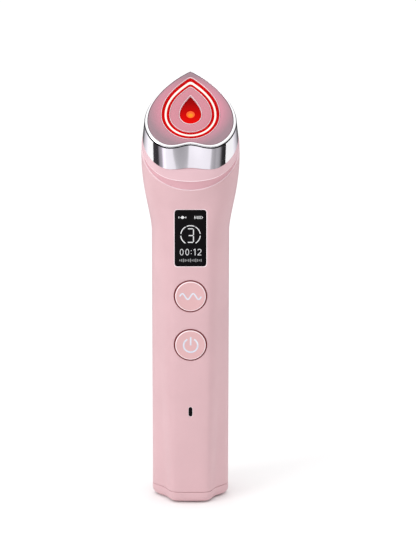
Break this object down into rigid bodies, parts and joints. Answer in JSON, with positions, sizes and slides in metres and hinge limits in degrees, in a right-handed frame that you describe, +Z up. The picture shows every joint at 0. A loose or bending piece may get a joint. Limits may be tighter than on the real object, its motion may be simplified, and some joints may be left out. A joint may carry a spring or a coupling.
{
  "type": "handheld facial massager",
  "caption": "Handheld facial wand: straight handle with two push keys and a small display, bent neck, and a tilted heart-shaped head with a metal band and a teardrop light ring.",
  "frame": {"origin": "centre of the rubber foot's flat face, on the surface the wand stands on, under the handle's axis", "axes": "+Z up the handle, -Y out of the side with the keys and the display, +X to the right as that side is seen"},
  "size_m": [0.0416, 0.0356, 0.1857],
  "materials": {
    "body_pink": "soft-touch pink, finely moulded",
    "collar_pink": "satin pale pink",
    "key_pink": "satin pink",
    "seal_pink": "matte dusky pink",
    "foot_rubber": "matte pink",
    "sleeve_rubber": "matte black",
    "chrome_plate": "mirror plated",
    "plate_pink": "gloss mauve pink",
    "ring_red": "lit red diffuser",
    "ring_white": "lit white line",
    "window_red": "lit red window",
    "led_amber": "lit amber lens",
    "display_glass": "black glossy window",
    "indicator_black": "smoked black",
    "black_plastic": "matte black",
    "white_plastic": "matte off-white",
    "board_green": "green solder mask",
    "amber_film": "amber polyimide",
    "cell_wrap": "blue shrink wrap over a metal can",
    "red_wire": "red insulation",
    "black_wire": "black insulation",
    "steel": "bright steel",
    "brass": "plain brass"
  },
  "bodies": {
    "handle": {"front_shell": "body_pink", "rear_shell": "body_pink", "base_cap": "body_pink", "base_foot": "foot_rubber", "display_window": "display_glass", "display_module": "black_plastic", "indicator_lens": "indicator_black", "indicator_led": "white_plastic", "mode_switch_body": "black_plastic", "power_switch_body": "black_plastic", "main_board": "board_green", "processor_chip": "black_plastic", "boost_transformer": "amber_film", "battery_plug": "white_plastic", "head_plug": "white_plastic", "board_screw_1": "steel", "board_screw_2": "steel", "charge_board": "board_green", "usb_socket": "steel", "usb_tongue": "black_plastic", "battery_cradle": "white_plastic", "battery_cell": "cell_wrap", "battery_tab_top": "brass", "battery_tab_bottom": "brass", "battery_lead_red": "red_wire", "battery_lead_black": "black_wire", "charge_lead_red": "red_wire", "charge_lead_black": "black_wire", "motor_can": "steel", "motor_sleeve": "sleeve_rubber", "head_flex_lead": "amber_film", "neck_collar": "collar_pink", "neck_seal": "seal_pink", "electrode_band": "chrome_plate", "outer_face_plate": "plate_pink", "light_ring": "ring_red", "light_ring_core": "ring_white", "inner_face_plate": "plate_pink", "centre_window": "window_red", "centre_led": "led_amber", "head_frame": "white_plastic", "led_board": "board_green", "ring_led_1": "white_plastic", "ring_led_2": "white_plastic", "ring_led_3": "white_plastic", "ring_led_4": "white_plastic", "ring_led_5": "white_plastic", "ring_led_6": "white_plastic", "cap_screw_left": "steel", "cap_screw_right": "steel", "head_screw_left": "steel", "head_screw_right": "steel", "band_contact_left": "brass", "band_contact_right": "brass"},
    "mode_button": {"mode_button_cap": "key_pink", "mode_switch_plunger": "black_plastic"},
    "power_button": {"power_button_cap": "key_pink", "power_switch_plunger": "black_plastic"},
    "rotor": {"motor_shaft": "steel", "motor_weight": "brass"}
  },
  "joints": [
    {"name": "mode_button_press", "type": "slide", "parent": "handle", "child": "mode_button", "axis": [0, 1, 0], "range_m": [0, 0.0005], "stiffness_N_per_m": 2000, "springref_m": -0.0003},
    {"name": "power_button_press", "type": "slide", "parent": "handle", "child": "power_button", "axis": [0, 1, 0], "range_m": [0, 0.0005], "stiffness_N_per_m": 2000, "springref_m": -0.0003},
    {"name": "motor_spin", "type": "hinge", "parent": "handle", "child": "rotor", "pos_m": [0, 0.0045, 0.121], "axis": [0, 0, 1], "continuous": true}
  ]
}
